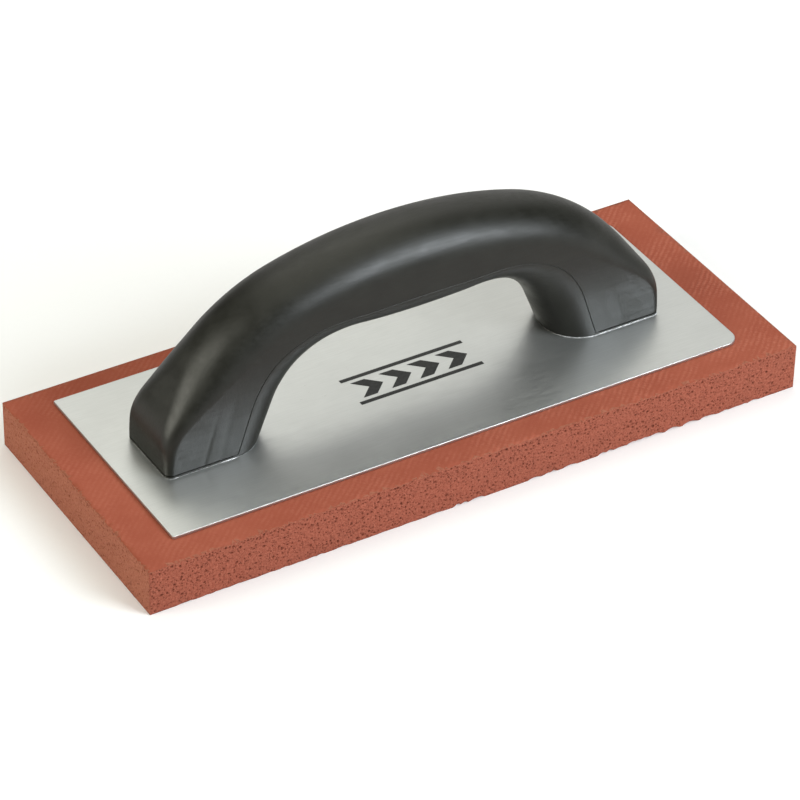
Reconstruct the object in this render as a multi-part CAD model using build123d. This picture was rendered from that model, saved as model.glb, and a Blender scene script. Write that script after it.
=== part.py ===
from build123d import *

import os
from math import atan2, cos, hypot, pi, radians, sin, sqrt, tan

# Hand float: a cellular rubber pad under an aluminium sheet that carries a hollow
# bridge handle. Millimetres. The origin is the centre of the pad's underside, +X runs
# along the pad, +Y across it and +Z up, away from the work.

# --- Pad, adhesive film and plate -------------------------------------------------
PAD_LENGTH = 240.0
PAD_WIDTH = 100.0
PAD_THICKNESS = 16.6

FILM_THICKNESS = 0.15
FILM_MARGIN = 1.5  # the film stops this far inside the plate's edge

PLATE_LENGTH = 211.0
PLATE_WIDTH = 81.0
PLATE_THICKNESS = 1.0
PLATE_CENTRE = (-0.6, 1.0)  # the plate is bonded slightly off the pad's middle
PLATE_CORNER_RADIUS = 4.75  # at the +X end
PLATE_SQUARE_RADIUS = 0.5  # at the -X end, where the sheet was sheared square
PLATE_EDGE_BREAK = 0.2

FILM_TOP = PAD_THICKNESS + FILM_THICKNESS
PLATE_TOP = FILM_TOP + PLATE_THICKNESS

# --- Handle side profile, in u along the handle and h above the plate --------------
HANDLE_CENTRE = (-2.1, -0.1)
HALF_LENGTH = 92.2
CROWN_HEIGHT = 60.75
CROWN_RADIUS = 154.0
CROWN_ANGLE = radians(17.4)
SHOULDER_RADIUS = 71.7
SLOPE_ANGLE = radians(54.3)
KNEE_RADIUS = 17.5

WINDOW_HALF_LENGTH = 54.5  # at the plate
WINDOW_HEIGHT = 31.4  # at its highest, each side of the palm swell
UNDERSIDE_HEIGHT = 30.0  # at the middle of the palm swell
WINDOW_CORNER_RADIUS = 29.3
LEG_TILT = radians(22.5)

# --- Handle section, at the foot, up the leg and at the grip -----------------------
FOOT_HALF_WIDTH = 13.7
GRIP_HALF_WIDTH = 14.1
FOOT_CORNER = 2.6  # corner radius of the foot's outer end
DOME_DEPTH = 11.5
DOME_HALF_WIDTH = 13.8
NOSE_DEPTH_FOOT = 12.9  # depth of the rounded inner edge
NOSE_DEPTH_LEG = 13.7
NOSE_DEPTH_GRIP = 9.1
NOSE_HALF_WIDTH_GRIP = 13.1
MIN_FLAT = 0.3  # the flat left between two rounded corners

DOME_GROWS = (0.0, 26.6)  # degrees round the handle, from the foot to the grip
WIDTH_GROWS = (10.0, 70.0)
NOSE_GROWS = (0.0, 30.0)
NOSE_SHRINKS = (25.0, 60.0)

# Bearings, in degrees from the plate, at which the handle's loft and joint are placed.
LOFT_BEARINGS = (4, 8, 12, 16, 21, 27, 34, 43, 54, 66, 78)
JOINT_BEARINGS = (0, 6, 12, 20, 28, 36, 45, 56, 70)
FOOT_BEARING = 0
UNDER_FOOT_BEARING = -3  # where shapes that cut the foot start, just below it

# --- Handle shells -----------------------------------------------------------------
WALL = 3.0
SOLE_THICKNESS = 1.2
MIN_CORNER = 0.8  # smallest corner inside the hollow
RIB_THICKNESS = 2.0
GRIP_RIB_SPACING = 20.0
GRIP_RIBS_EACH_SIDE = 2
PAST = 5.0  # how far a cutting solid runs past what it cuts

# --- Screws and their bosses -------------------------------------------------------
SCREW_U = 78.0
SCREW_Y = 6.5
SHANK_RADIUS = 1.75
SHANK_LENGTH = 14.0
POINT_LENGTH = 2.0
POINT_RADIUS = 0.5
HEAD_RADIUS = 4.0
HEAD_HEIGHT = 1.6
HEAD_ROUND = 0.7
RECESS_WIDTH = 0.9
RECESS_LENGTH = 3.6
RECESS_DEPTH = 1.0
BOSS_RADIUS = 4.0
BOSS_HEIGHT = 16.0
PILOT_CLEARANCE = 0.05
HOLE_CLEARANCE = 0.4
HEAD_CLEARANCE = 0.3
HEAD_GAP = 0.2  # below the head, inside the pad

# --- Printed mark on the plate -----------------------------------------------------
MARK_CENTRE = (1.7, -1.7)
MARK_LENGTH = 46.0
MARK_WIDTH = 15.0
INK_THICKNESS = 0.04
BAR_WIDTH = 1.6
CHEVRON_COUNT = 4
CHEVRON_PITCH = 10.6
CHEVRON_REACH = 4.6
CHEVRON_BODY = 5.2
CHEVRON_HALF_HEIGHT = 4.4


def blend(span, degrees):
    """Rises smoothly from 0 to 1 as an angle crosses a span."""
    share = min(1.0, max(0.0, (degrees - span[0]) / (span[1] - span[0])))
    return share * share * (3 - 2 * share)


def mix(a, b, share):
    return a + (b - a) * share


# The outer profile is a chain of tangent arcs: crown, shoulder, slope, knee, end wall.
CROWN_CENTRE = (0.0, CROWN_HEIGHT - CROWN_RADIUS)
SHOULDER_CENTRE = (
    CROWN_CENTRE[0] + (CROWN_RADIUS - SHOULDER_RADIUS) * sin(CROWN_ANGLE),
    CROWN_CENTRE[1] + (CROWN_RADIUS - SHOULDER_RADIUS) * cos(CROWN_ANGLE),
)
SLOPE_OFFSET = (
    SHOULDER_CENTRE[0] * sin(SLOPE_ANGLE)
    + SHOULDER_CENTRE[1] * cos(SLOPE_ANGLE)
    + SHOULDER_RADIUS
)
KNEE_U = HALF_LENGTH - KNEE_RADIUS
KNEE_CENTRE = (
    KNEE_U,
    (SLOPE_OFFSET - KNEE_RADIUS - KNEE_U * sin(SLOPE_ANGLE)) / cos(SLOPE_ANGLE),
)

# The inner profile is the leg's straight face, the window's corner and the palm swell.
CORNER_HEIGHT = WINDOW_HEIGHT - WINDOW_CORNER_RADIUS
CORNER_CENTRE = (
    WINDOW_HALF_LENGTH
    - CORNER_HEIGHT * tan(LEG_TILT)
    - WINDOW_CORNER_RADIUS / cos(LEG_TILT),
    CORNER_HEIGHT,
)
DROP = UNDERSIDE_HEIGHT - CORNER_HEIGHT
SWELL_RADIUS = (CORNER_CENTRE[0] ** 2 + DROP**2 - WINDOW_CORNER_RADIUS**2) / (
    2 * (WINDOW_CORNER_RADIUS - DROP)
)
SWELL_CENTRE = (0.0, UNDERSIDE_HEIGHT + SWELL_RADIUS)


def on_arc(centre, radius, angle):
    """A point of an arc, at an angle from straight up."""
    return (centre[0] + radius * sin(angle), centre[1] + radius * cos(angle))


def bearing(point):
    return atan2(point[1], point[0])


def ray_to_circle(theta, centre, radius, side=1):
    """How far a ray from the origin runs to a circle's far or near side."""
    along = centre[0] * cos(theta) + centre[1] * sin(theta)
    off = hypot(*centre) ** 2 - along**2
    return along + side * sqrt(radius**2 - off)


def outer_reach(theta):
    """Distance from the handle's middle, on the plate, to its outer profile."""
    if theta < bearing(on_arc(KNEE_CENTRE, KNEE_RADIUS, pi / 2)):
        return HALF_LENGTH / cos(theta)
    if theta < bearing(on_arc(KNEE_CENTRE, KNEE_RADIUS, SLOPE_ANGLE)):
        return ray_to_circle(theta, KNEE_CENTRE, KNEE_RADIUS)
    if theta < bearing(on_arc(SHOULDER_CENTRE, SHOULDER_RADIUS, SLOPE_ANGLE)):
        return SLOPE_OFFSET / cos(pi / 2 - SLOPE_ANGLE - theta)
    if theta < bearing(on_arc(SHOULDER_CENTRE, SHOULDER_RADIUS, CROWN_ANGLE)):
        return ray_to_circle(theta, SHOULDER_CENTRE, SHOULDER_RADIUS)
    return ray_to_circle(theta, CROWN_CENTRE, CROWN_RADIUS)


def inner_reach(theta):
    """Distance from the handle's middle, on the plate, to the window's profile."""
    leg_end = on_arc(CORNER_CENTRE, WINDOW_CORNER_RADIUS, pi / 2 - LEG_TILT)
    if theta < bearing(leg_end):
        return WINDOW_HALF_LENGTH * cos(LEG_TILT) / cos(theta - LEG_TILT)
    share = SWELL_RADIUS / (SWELL_RADIUS + WINDOW_CORNER_RADIUS)
    swell_end = (
        CORNER_CENTRE[0] * share,
        mix(SWELL_CENTRE[1], CORNER_CENTRE[1], share),
    )
    if theta < bearing(swell_end):
        return ray_to_circle(theta, CORNER_CENTRE, WINDOW_CORNER_RADIUS)
    return ray_to_circle(theta, SWELL_CENTRE, SWELL_RADIUS, side=-1)


def nose_depth(degrees):
    """Depth of the rounded inner edge, which ends at the joint between the shells."""
    leg = mix(NOSE_DEPTH_FOOT, NOSE_DEPTH_LEG, blend(NOSE_GROWS, degrees))
    return mix(leg, NOSE_DEPTH_GRIP, blend(NOSE_SHRINKS, degrees))


def fold(degrees):
    """The handle is the same both ways from its middle."""
    return min(degrees, 180.0 - degrees)


def handle_point(degrees, reach, y):
    """A point of the handle from its bearing and distance in side view, and its y."""
    theta = radians(degrees)
    return Vector(
        HANDLE_CENTRE[0] + reach * cos(theta),
        HANDLE_CENTRE[1] + y,
        PLATE_TOP + reach * sin(theta),
    )


def quarter(degrees, start, corner, end):
    """A quarter ellipse from start to end, rounding off their shared corner."""
    kappa = 4 * (sqrt(2) - 1) / 3
    pull = [
        (mix(p[0], corner[0], kappa), mix(p[1], corner[1], kappa)) for p in (start, end)
    ]
    return Bezier(*[handle_point(degrees, *p) for p in (start, *pull, end)])


def section(degrees, inset):
    """The handle's section on one ray, drawn in by inset all round."""
    at = fold(degrees)
    theta = radians(at)
    low = inner_reach(theta) + inset
    high = outer_reach(theta) - inset
    width = mix(FOOT_HALF_WIDTH, GRIP_HALF_WIDTH, blend(WIDTH_GROWS, at)) - inset
    dome = blend(DOME_GROWS, at)
    dome_depth = max(MIN_CORNER, mix(FOOT_CORNER, DOME_DEPTH, dome) - inset)
    dome_side = max(MIN_CORNER, mix(FOOT_CORNER, DOME_HALF_WIDTH, dome) - inset)
    nose = nose_depth(at) - inset
    nose_side = mix(
        width, NOSE_HALF_WIDTH_GRIP - inset, blend(NOSE_SHRINKS, at)
    )
    dome_flat = max(MIN_FLAT, width - dome_side)
    nose_flat = max(MIN_FLAT, width - nose_side)
    edges = []
    for way in (1, -1):
        top_in = (high, way * dome_flat)
        top_out = (high - dome_depth, way * width)
        low_out = (low + nose, way * width)
        low_in = (low, way * nose_flat)
        edges.append(quarter(degrees, top_in, (high, way * width), top_out))
        edges.append(
            Line(handle_point(degrees, *top_out), handle_point(degrees, *low_out))
        )
        edges.append(quarter(degrees, low_out, (low, way * width), low_in))
    for reach, flat in ((high, dome_flat), (low, nose_flat)):
        edges.append(
            Line(
                handle_point(degrees, reach, flat), handle_point(degrees, reach, -flat)
            )
        )
    return Face(Wire(edges))


def handle_body(inset, start):
    """The whole arch as one solid, from one foot to the other."""
    half = [start, *LOFT_BEARINGS]
    bearings = half + [90] + [180 - degrees for degrees in reversed(half)]
    return Solid.make_loft([section(degrees, inset).outer_wire() for degrees in bearings])


def inner_region():
    """Everything on the inner shell's side of the joint between the two shells."""
    half = [UNDER_FOOT_BEARING, *JOINT_BEARINGS]
    bearings = half + [90] + [180 - degrees for degrees in reversed(half)]
    joint = [
        handle_point(
            degrees, inner_reach(radians(fold(degrees))) + nose_depth(fold(degrees)), 0
        )
        for degrees in bearings
    ]
    curve = Spline(*joint)
    closing = Line(joint[-1], joint[0])
    past_side = GRIP_HALF_WIDTH + PAST
    inside = Pos(0, past_side, 0) * extrude(
        Face(Wire([curve, closing])), amount=2 * past_side, dir=(0, -1, 0)
    )
    length = 2 * (HALF_LENGTH + PAST)
    soles = Pos(HANDLE_CENTRE[0], 0, PLATE_TOP + SOLE_THICKNESS - PAST / 2) * Box(
        length, 2 * past_side, PAST
    )
    return inside + soles


def screw_places():
    return [
        (HANDLE_CENTRE[0] + end * SCREW_U, HANDLE_CENTRE[1] + side * SCREW_Y)
        for end in (-1, 1)
        for side in (-1, 1)
    ]


def upright(place, bottom, height, radius):
    """A cylinder standing on height bottom."""
    return Pos(place[0], place[1], bottom + height / 2) * Cylinder(radius, height)


def cross_ribs():
    """Upright ribs across the hollow: one over each pair of bosses and five in the grip."""
    grip = range(-GRIP_RIBS_EACH_SIDE, GRIP_RIBS_EACH_SIDE + 1)
    places = [-SCREW_U, SCREW_U] + [GRIP_RIB_SPACING * n for n in grip]
    rib = Box(RIB_THICKNESS, 2 * GRIP_HALF_WIDTH, 2 * CROWN_HEIGHT)
    return [Pos(HANDLE_CENTRE[0] + u, HANDLE_CENTRE[1], PLATE_TOP) * rib for u in places]


def handle_shells():
    """The outer shell with its ribs and bosses, and the inner shell with its soles."""
    body = handle_body(0.0, FOOT_BEARING)
    hollow = handle_body(WALL, UNDER_FOOT_BEARING)
    middle = handle_body(WALL / 2, UNDER_FOOT_BEARING)
    floor = PLATE_TOP + SOLE_THICKNESS
    above = Pos(0, 0, floor + CROWN_HEIGHT) * Box(PAD_LENGTH, PAD_WIDTH, 2 * CROWN_HEIGHT)
    skin = body - (hollow & above)
    lower = inner_region()
    outer = skin - lower
    inner = skin & lower
    for rib in cross_ribs():
        outer += (rib & middle & above) - lower
    for place in screw_places():
        outer += upright(place, floor, BOSS_HEIGHT, BOSS_RADIUS)
    for place in screw_places():
        pilot = SHANK_RADIUS + PILOT_CLEARANCE
        outer -= upright(place, floor - PAST, PAST + SHANK_LENGTH, pilot)
        inner -= upright(place, floor - PAST, 2 * PAST, SHANK_RADIUS + HOLE_CLEARANCE)
    return outer, inner


def screw():
    """A wafer-head self-tapping screw, point up, with its head's top face at height 0."""
    shank = Pos(0, 0, (SHANK_LENGTH - POINT_LENGTH) / 2) * Cylinder(
        SHANK_RADIUS, SHANK_LENGTH - POINT_LENGTH
    )
    point = Pos(0, 0, SHANK_LENGTH - POINT_LENGTH / 2) * Cone(
        SHANK_RADIUS, POINT_RADIUS, POINT_LENGTH
    )
    head = Pos(0, 0, -HEAD_HEIGHT / 2) * Cylinder(HEAD_RADIUS, HEAD_HEIGHT)
    head = fillet(head.edges().group_by(Axis.Z)[0], HEAD_ROUND)
    cross = Box(RECESS_LENGTH, RECESS_WIDTH, 2 * RECESS_DEPTH)
    cross += Box(RECESS_WIDTH, RECESS_LENGTH, 2 * RECESS_DEPTH)
    return head + shank + point - Pos(0, 0, -HEAD_HEIGHT) * cross


def plate_screws():
    """Four screws, each with its head drawn up against the plate's underside."""
    return [Pos(*place, FILM_TOP) * screw() for place in screw_places()]


def sponge_pad():
    """The rubber pad, pressed in by the four screw heads."""
    pad = Pos(0, 0, PAD_THICKNESS / 2) * Box(PAD_LENGTH, PAD_WIDTH, PAD_THICKNESS)
    depth = HEAD_HEIGHT + HEAD_GAP - FILM_THICKNESS
    for place in screw_places():
        radius = HEAD_RADIUS + HEAD_CLEARANCE
        pad -= upright(place, PAD_THICKNESS - depth, depth + PAST, radius)
    return pad


def pad_adhesive():
    """The contact adhesive between pad and plate, open round the screw heads."""
    film = Pos(*PLATE_CENTRE, PAD_THICKNESS + FILM_THICKNESS / 2) * Box(
        PLATE_LENGTH - 2 * FILM_MARGIN, PLATE_WIDTH - 2 * FILM_MARGIN, FILM_THICKNESS
    )
    for place in screw_places():
        film -= upright(place, PAD_THICKNESS - PAST, 2 * PAST, HEAD_RADIUS + HEAD_CLEARANCE)
    return film


def backing_plate():
    """The aluminium sheet, with a broken upper edge and four screw holes."""
    plate = Pos(*PLATE_CENTRE, FILM_TOP + PLATE_THICKNESS / 2) * Box(
        PLATE_LENGTH, PLATE_WIDTH, PLATE_THICKNESS
    )
    ends = plate.edges().filter_by(Axis.Z).group_by(Axis.X)
    plate = fillet(ends[-1], PLATE_CORNER_RADIUS)
    ends = plate.edges().filter_by(Axis.Z).group_by(Axis.X)
    plate = fillet(ends[0], PLATE_SQUARE_RADIUS)
    plate = chamfer(plate.edges().group_by(Axis.Z)[-1], PLATE_EDGE_BREAK)
    for place in screw_places():
        plate -= upright(place, FILM_TOP - PAST, 2 * PAST, SHANK_RADIUS + HOLE_CLEARANCE)
    return plate


def printed_mark():
    """A row of working-direction chevrons between two bars, in ink on the plate."""
    bottom = Pos(*MARK_CENTRE, PLATE_TOP)
    pieces = []
    for side in (-1, 1):
        bar = Rectangle(MARK_LENGTH, BAR_WIDTH)
        pieces.append(Pos(0, side * (MARK_WIDTH - BAR_WIDTH) / 2) * bar)
    for number in range(CHEVRON_COUNT):
        back = (number - (CHEVRON_COUNT - 1) / 2) * CHEVRON_PITCH - CHEVRON_REACH
        outline = Polyline(
            (back, -CHEVRON_HALF_HEIGHT),
            (back + CHEVRON_BODY, -CHEVRON_HALF_HEIGHT),
            (back + CHEVRON_BODY + CHEVRON_REACH, 0),
            (back + CHEVRON_BODY, CHEVRON_HALF_HEIGHT),
            (back, CHEVRON_HALF_HEIGHT),
            (back + CHEVRON_REACH, 0),
            close=True,
        )
        pieces.append(make_face(outline))
    return [bottom * extrude(piece, amount=INK_THICKNESS) for piece in pieces]


def as_node(solids):
    """One shape from several separate solids."""
    return Compound(children=[Part(s.wrapped) for piece in solids for s in piece.solids()])


os.makedirs("parts", exist_ok=True)

outer_shell, inner_shell = handle_shells()
nodes = {
    "sponge_pad": sponge_pad(),
    "pad_adhesive": pad_adhesive(),
    "backing_plate": backing_plate(),
    "handle_outer_shell": outer_shell,
    "handle_inner_shell": inner_shell,
    "plate_screws": as_node(plate_screws()),
    "printed_mark": as_node(printed_mark()),
}
for name, shape in nodes.items():
    export_step(shape, f"parts/{name}.step")
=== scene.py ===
from math import cos, hypot, pi, radians, sin, sqrt, tan

import bmesh
import bpy
import numpy as np
from mathutils import Matrix, Vector
from mathutils.geometry import delaunay_2d_cdt


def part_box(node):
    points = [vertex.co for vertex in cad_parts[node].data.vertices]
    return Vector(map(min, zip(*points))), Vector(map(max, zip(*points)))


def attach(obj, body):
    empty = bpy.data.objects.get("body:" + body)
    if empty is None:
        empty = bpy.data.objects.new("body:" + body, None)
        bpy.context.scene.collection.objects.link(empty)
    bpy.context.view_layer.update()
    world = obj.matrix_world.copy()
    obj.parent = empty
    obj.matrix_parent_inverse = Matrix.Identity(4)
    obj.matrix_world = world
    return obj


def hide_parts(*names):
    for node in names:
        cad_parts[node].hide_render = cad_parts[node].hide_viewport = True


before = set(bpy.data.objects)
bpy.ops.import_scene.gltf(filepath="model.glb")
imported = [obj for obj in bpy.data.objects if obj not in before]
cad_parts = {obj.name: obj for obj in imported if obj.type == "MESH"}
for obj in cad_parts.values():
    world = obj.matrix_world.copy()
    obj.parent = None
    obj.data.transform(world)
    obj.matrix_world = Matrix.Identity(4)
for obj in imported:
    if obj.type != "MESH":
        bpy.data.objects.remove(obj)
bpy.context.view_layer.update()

# The looks of a rubber-faced hand float. Every length below is in millimetres, like the
# design, and meshes are written in metres. The parts' places come from the frame.
MM = 0.001

# --- Camera ------------------------------------------------------------------------
CAMERA_PLACE = (-552.7, -902.0, 782.9)
CAMERA_AZIMUTH = radians(-31.43)
CAMERA_DOWN = radians(36.29)
CAMERA_ROLL = radians(1.10)
CAMERA_LENS = 181.4
CAMERA_SENSOR = 36.0
CAMERA_NEAR = 50
CAMERA_FAR = 20000

# --- Handle profile and section, as in the design ------------------------------------
CROWN_HEIGHT = 60.75
CROWN_RADIUS = 154.0
CROWN_ANGLE = radians(17.4)
SHOULDER_RADIUS = 71.7
SLOPE_ANGLE = radians(54.3)
KNEE_RADIUS = 17.5
HALF_LENGTH = 92.2
WINDOW_HALF_LENGTH = 54.5
WINDOW_HEIGHT = 31.4
UNDERSIDE_HEIGHT = 30.0
WINDOW_CORNER_RADIUS = 29.3
LEG_TILT = radians(22.5)
FOOT_HALF_WIDTH = 13.7
GRIP_HALF_WIDTH = 14.1
FOOT_CORNER = 2.6
DOME_DEPTH = 11.5
DOME_HALF_WIDTH = 13.8
NOSE_DEPTH_FOOT = 12.9
NOSE_DEPTH_LEG = 13.7
NOSE_DEPTH_GRIP = 9.1
NOSE_HALF_WIDTH_GRIP = 13.1
MIN_FLAT = 0.3
MIN_CORNER = 0.8
DOME_GROWS = (0.0, 26.6)
WIDTH_GROWS = (10.0, 70.0)
NOSE_GROWS = (0.0, 30.0)
NOSE_SHRINKS = (25.0, 60.0)
WALL = 3.0
SOLE = 1.2

# --- Handle surface ------------------------------------------------------------------
SECTIONS = 230
FINE_BEARINGS = 3601
SIDE_STEPS = 44
ROUND_STEPS = 16
FLAT_STEPS = 6
HOLLOW_STEPS = 5
FOOT_CORNER_STEPS = 8
FOOT_SIDE_STEPS = 12
FOOT_NOSE_STEPS = 24

# The groove at the joint: half its gap, and its depth at some steps away from the joint.
JOINT_GAP = 0.02
JOINT_STEPS = (0.0, 0.03, 0.07, 0.13, 0.25)
JOINT_DEPTHS = (0.11, 0.07, 0.035, 0.01, 0.0)

# The sole's outline at each height: how far it is drawn in all round, where it curls under
# at the plate, and how much further beyond the joint, where the outer shell stands over it.
SOLE_LEVELS = (
    (0.0, 0.30, 0.0),
    (0.05, 0.16, 0.0),
    (0.16, 0.05, 0.0),
    (0.4, 0.0, 0.0),
    (0.64, 0.0, 0.0),
    (0.7, 0.0, 0.05),
    (0.72, 0.0, 0.3),
    (0.74, 0.0, 0.6),
    (SOLE, 0.0, 0.6),
)
SOLE_GROOVE_SPAN = (-0.2, 1.0)  # it deepens between these distances out from the joint

# Each shallow sink line on the feet's sides: its depth, its distance outwards from the
# screws, how far it leans in per millimetre of height, its half width, and the heights at
# which it is gone and whole.
SCREW_U = 78.0
SINK_LINES = ((0.15, 1.5, 0.3, 0.75, (22, 6)), (0.06, -4.5, 0.25, 1.3, (26, 12)))
SINK_REACH = 0.4  # only surface this close to the foot's flat side sinks

# --- Adhesive beads ------------------------------------------------------------------
BEAD_SEED = 11
BEAD_RADIUS = 0.24
BEAD_ARC = 6
BEAD_POINTS = 420
BEAD_WAVES = (3, 7, 13, 29, 61)  # waves round one foot
BEAD_BITE = 0.05  # how far its top reaches into the handle's face
BEAD_ROOT = 0.3  # how far its bottom reaches in under the handle
BEAD_FRONT = (2.0, 9.0)  # it thickens between these distances in front of the foot's middle
# Shares of the radius: with nothing added, the least, what the waves add at the right foot
# and at the left one, and what the right foot's front adds.
BEAD_BARE, BEAD_THINNEST = 0.1, 0.12
BEAD_WOBBLE = {1: 0.4, -1: 0.12}
BEAD_RIGHT_FILL = 1.05
# The left foot's blobs: the size of the foot that each lies from, its distance outwards
# from there, its half length and the share of the radius that it adds.
BEAD_LEFT_BLOBS = (("joint", 2.5, 3.0, 0.9), ("high", -3.0, 1.4, 0.5))

# --- Pad -----------------------------------------------------------------------------
PORE_SEED = 7
PORE_RING = 6  # points round one pore
# A pore profile's third number is its share of painted shade, which darkens the pit's colour.
PORE_PROFILE = ((1.0, 0.0, 0.0), (0.7, 0.55, 1.0), (0.0, 0.9, 1.0))  # reach, depth, shade
PORE_SQUASH = (0.75, 1.0)
PORE_RADIUS = 0.23
PORE_SPREAD = (2.0, 0.08)  # shape and scale of what the radius gains
PORE_LARGEST = 0.62
PORE_GAP = 0.08  # at least this much between two
PORES_PER_MM2 = {"front": 0.62, "back": 0.55, "left": 0.45, "right": 0.45, "bottom": 0.07}
BOTTOM_PORES_GROW = 1.5

# Some of a side's pores crowd in a row under the skin: their share, how deep under it they
# start, how far they spread below that, and how much bigger they are.
SKIN_ROW_SHARE = 0.14
SKIN_ROW_DEPTH = 0.75
SKIN_ROW_SPREAD = 0.35
SKIN_ROW_GROWS = 1.15

# The points between the pores, and those along the pad's edges.
SIDE_SPACING, BOTTOM_SPACING, TOP_SPACING = 0.62, 2.4, 2.2
JITTER = (0.1, 0.9)  # each lies between these shares of its grid cell
CUT_ROUGHNESS = 0.12
EDGE_STEP, EDGE_RISE = 0.7, 0.55  # along and up
EDGE_CLEAR, PORE_CLEAR = 0.25, 0.1  # no loose point lies nearer to an edge or to a pore
SAME_POINT = 1e-7
WELD = 0.001

# The "cut" attribute on each face, 1 where nothing is said: 0 is the moulded skin.
CUT_SHADE = {"top": 0.0, "left": 0.75, "right": 0.75}

# Crumbs torn from the front's lower edge: their number, how far they keep from the ends,
# how wide and tall they are, and how far back and up the pad is moved. Those nearer to the
# left end than CRUMB_TALL_FROM have only a share of their height.
CRUMBS = 70
CRUMB_MARGIN = 4
CRUMB_HALF_WIDTH = (0.8, 3.0)
CRUMB_HEIGHT = (0.1, 1.1)
CRUMB_REACH = 2.5
CRUMB_RISE = 1.6
CRUMB_TALL_FROM = 110
CRUMB_LEFT_SHARE = 0.3

# The cloth mark on the skin: the turns of its two sets of bands, and the places along the
# pad between which it gets clearer.
CLOTH_TURNS = (radians(47), radians(-43))
CLOTH_CLEARS = (-110.0, 30.0)

# --- Plate ---------------------------------------------------------------------------
PLATE_CORNERS = {1: 4.75, -1: 0.5}  # radius at the right end and at the left end
PLATE_CORNER_STEPS = 8
PLATE_LEAST_RADIUS = 0.05
# The sheet's edge: how far it is drawn in at each share of its thickness.
PLATE_EDGE = ((0.0, 0.06), (0.06, 0.0), (0.84, 0.0), (0.93, 0.03), (0.98, 0.09), (1.0, 0.2))

# --- Studio --------------------------------------------------------------------------
# Each softbox: the way it lies from the object, the length of its side, its radiance and
# its colour. All are the same distance away.
SOFTBOX_DISTANCE = 1500
COOL, WARM, WARMER = (0.89, 0.95, 1.0), (1.0, 0.99, 0.95), (1.0, 0.99, 0.87)
SOFTBOXES = {
    "back": ((0.42, 0.69, 0.5), 1500, 0.70, WARM),
    "top": ((0.05, -0.1, 1.0), 1100, 1.1, WARMER),
    "top_back": ((0.1, 0.5, 0.9), 1000, 1.2, WARMER),
    "front_right": ((0.5, -0.7, 0.75), 800, 3.3, COOL),
    "front_right_low": ((0.45, -0.75, 0.5), 700, 11.4, COOL),
    "left": ((-1.0, 0.1, 0.5), 1000, 4.9, WARMER),
}
SKY_COLOR = (1.0, 0.99, 0.96, 1.0)
SKY_RADIANCE = 0.06
LOWER_RADIANCE = 0.75  # what glossy surfaces see where the floor is
HORIZON = 0.02  # half the height over which the one turns into the other
FLOOR_HALF = 900
FLOOR_DROP = 0.02  # just under the pad
FLOOR_GLOW = 0.12
BACKDROP_RADIUS = 4000
BACKDROP_RADIANCE = 0.97


def blend(span, value):
    """Rises smoothly from 0 to 1 while the value goes from one end of the span to the other."""
    share = np.clip((value - span[0]) / (span[1] - span[0]), 0, 1)
    return share * share * (3 - 2 * share)


def mix(a, b, share):
    return a + (b - a) * share


def mesh_piece(name, points, faces, material, smooth=True):
    """A new mesh object from points in millimetres."""
    mesh = bpy.data.meshes.new(name)
    mesh.from_pydata((np.asarray(points) * MM).tolist(), [], faces)
    mesh.validate()
    mesh.update()
    mesh.polygons.foreach_set("use_smooth", [smooth] * len(mesh.polygons))
    mesh.materials.append(material)
    piece = bpy.data.objects.new(name, mesh)
    bpy.context.scene.collection.objects.link(piece)
    return piece


def turn_faces_out(piece):
    """Points every face of a closed mesh outwards."""
    mesh = bmesh.new()
    mesh.from_mesh(piece.data)
    bmesh.ops.recalc_face_normals(mesh, faces=mesh.faces)
    mesh.to_mesh(piece.data)
    mesh.free()


def wrap(index):
    """Quads between each row of point numbers and the next, where every row is a ring."""
    a, b = index[:-1], index[1:]
    quads = np.stack([a, np.roll(a, -1, 1), np.roll(b, -1, 1), b], axis=-1)
    return quads.reshape(-1, 4).tolist()


def stacked(loops):
    """The points and faces of a closed solid made of outlines stacked upwards."""
    index = np.arange(len(loops) * len(loops[0])).reshape(len(loops), -1)
    caps = [index[0][::-1].tolist(), index[-1].tolist()]
    return np.concatenate(loops), wrap(index) + caps


def flatten_caps(piece):
    """Keeps big flat faces flat, so that they don't shade the rounded ones beside them."""
    mesh = piece.data
    for polygon in mesh.polygons:
        if len(polygon.vertices) > 4:
            polygon.use_smooth = False
            for loop in polygon.loop_indices:
                mesh.edges[mesh.loops[loop].edge_index].use_edge_sharp = True


# =====================================================================================
# Materials
# =====================================================================================


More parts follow.
